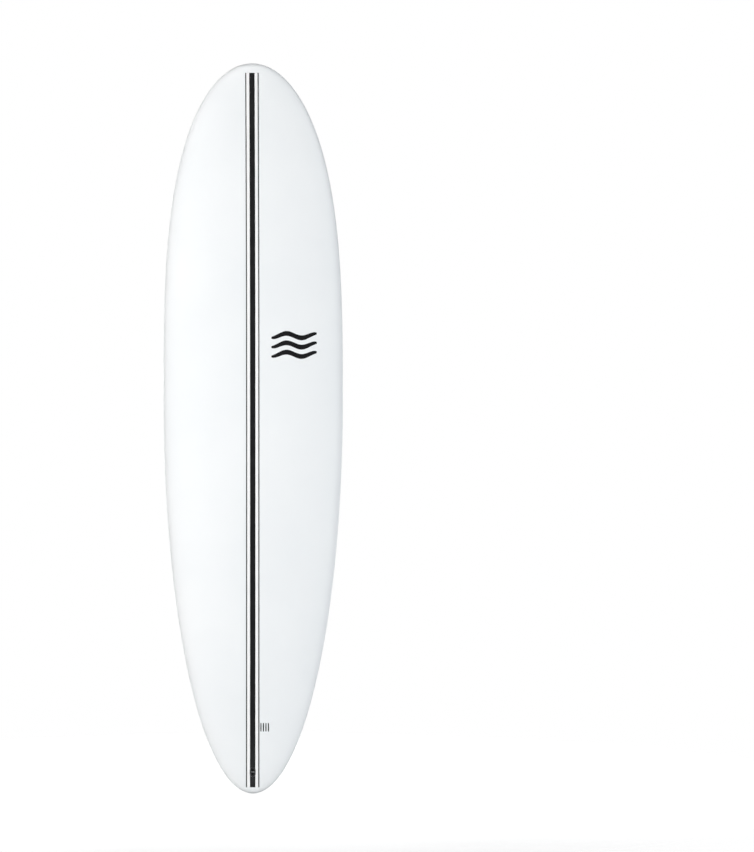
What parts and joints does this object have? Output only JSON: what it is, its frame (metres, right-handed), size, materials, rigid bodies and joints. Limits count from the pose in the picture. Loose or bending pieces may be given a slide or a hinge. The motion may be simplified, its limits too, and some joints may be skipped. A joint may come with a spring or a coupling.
{
  "type": "surfboard",
  "caption": "Round-tailed soft surfboard standing on its tail, with a striped deck, a slick bottom, slotted fin boxes and a leash plug.",
  "frame": {"origin": "centreline of the bottom at the middle of the rocker's flat spot, 1050 mm from the tail tip", "axes": "+Z along the board to the nose, +X across it to the right seen from the deck, +Y out of the bottom; the deck faces -Y"},
  "size_m": [0.5402, 0.1373, 2.1844],
  "materials": {
    "deck_foam": "closed-cell foam skin, satin",
    "slick": "smooth, semi-gloss",
    "backing_foam": "closed-cell foam",
    "core_foam": "bead foam",
    "stringer_wood": "plain sawn",
    "stripe_film": "gloss",
    "border_film": "satin",
    "pinstripe_film": "satin",
    "box_plastic": "moulded, fine grain",
    "plug_plastic": "moulded",
    "pin_steel": "drawn",
    "screw_steel": "machined"
  },
  "bodies": {
    "board": {"deck_skin": "deck_foam", "bottom_slick": "slick", "bottom_foam": "backing_foam", "core_left": "core_foam", "core_right": "core_foam", "stringer": "stringer_wood", "centre_stripe": "stripe_film", "border_left": "border_film", "border_right": "border_film", "pinstripe_left": "pinstripe_film", "pinstripe_right": "pinstripe_film", "fin_box_centre": "box_plastic", "fin_box_left": "box_plastic", "fin_box_right": "box_plastic", "leash_plug": "plug_plastic", "leash_pin": "pin_steel"},
    "grub_screw_centre_front": {"grub_screw_centre_front": "screw_steel"},
    "grub_screw_centre_rear": {"grub_screw_centre_rear": "screw_steel"},
    "grub_screw_right_front": {"grub_screw_right_front": "screw_steel"},
    "grub_screw_right_rear": {"grub_screw_right_rear": "screw_steel"},
    "grub_screw_left_front": {"grub_screw_left_front": "screw_steel"},
    "grub_screw_left_rear": {"grub_screw_left_rear": "screw_steel"}
  },
  "joints": [
    {"name": "grub_screw_centre_front_thread", "type": "slide", "parent": "board", "child": "grub_screw_centre_front", "axis": [0.4226, -0.9026, 0.0823], "range_m": [-0.0005, 0.003]},
    {"name": "grub_screw_centre_rear_thread", "type": "slide", "parent": "board", "child": "grub_screw_centre_rear", "axis": [-0.4226, -0.9026, 0.0823], "range_m": [-0.0005, 0.003]},
    {"name": "grub_screw_right_front_thread", "type": "slide", "parent": "board", "child": "grub_screw_right_front", "axis": [0.3579, -0.9286, 0.0985], "range_m": [-0.0005, 0.003]},
    {"name": "grub_screw_right_rear_thread", "type": "slide", "parent": "board", "child": "grub_screw_right_rear", "axis": [0.3579, -0.9286, 0.0985], "range_m": [-0.0005, 0.003]},
    {"name": "grub_screw_left_front_thread", "type": "slide", "parent": "board", "child": "grub_screw_left_front", "axis": [-0.3579, -0.9286, 0.0985], "range_m": [-0.0005, 0.003]},
    {"name": "grub_screw_left_rear_thread", "type": "slide", "parent": "board", "child": "grub_screw_left_rear", "axis": [-0.3579, -0.9286, 0.0985], "range_m": [-0.0005, 0.003]}
  ]
}
